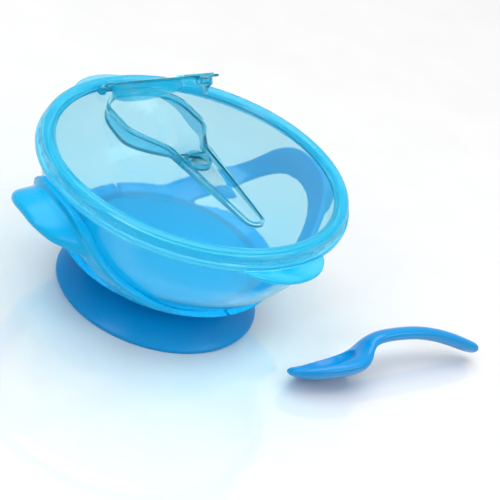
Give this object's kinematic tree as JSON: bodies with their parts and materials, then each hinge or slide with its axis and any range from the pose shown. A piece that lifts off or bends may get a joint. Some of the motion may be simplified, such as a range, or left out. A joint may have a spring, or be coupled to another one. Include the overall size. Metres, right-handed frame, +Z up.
{
  "type": "suction bowl",
  "caption": "Toddler feeding bowl that holds to a table with a suction base; soft side grips, a lift-off lid with a hinged spoon cover, and a loose spoon.",
  "frame": {"origin": "bottom centre of the whole set's box, on the table that the suction base stands on; the bowl's axis is at x -0.0234, y 0.0049", "axes": "+X along the line through the grips, towards the spoon's handle; +Y towards the lid's hinge; +Z up"},
  "size_m": [0.224, 0.1799, 0.1142],
  "materials": {
    "bowl_plastic": "glossy, translucent",
    "grip_rubber": "satin, moulded over the bowl",
    "base_rubber": "satin, flexible",
    "lid_plastic": "glossy, nearly clear",
    "spoon_plastic": "satin gloss"
  },
  "bodies": {
    "bowl": {"bowl_shell": "bowl_plastic", "left_grip": "grip_rubber", "right_grip": "grip_rubber", "suction_base": "base_rubber"},
    "lid": {"lid": "lid_plastic"},
    "cover": {"spoon_cover": "lid_plastic"},
    "spoon": {"spoon": "spoon_plastic"}
  },
  "joints": [
    {"name": "lid_lift", "type": "slide", "parent": "bowl", "child": "lid", "axis": [0, 0, 1], "range_m": [0, 0.06]},
    {"name": "cover_hinge", "type": "hinge", "parent": "lid", "child": "cover", "pos_m": [-0.0234, 0.0664, 0.0754], "axis": [-1, 0, 0], "range_deg": [-34.5, 60]},
    {"name": "spoon_lift", "type": "slide", "parent": "bowl", "child": "spoon", "axis": [0, -0.7071, 0.7071], "range_m": [0, 0.08]}
  ]
}
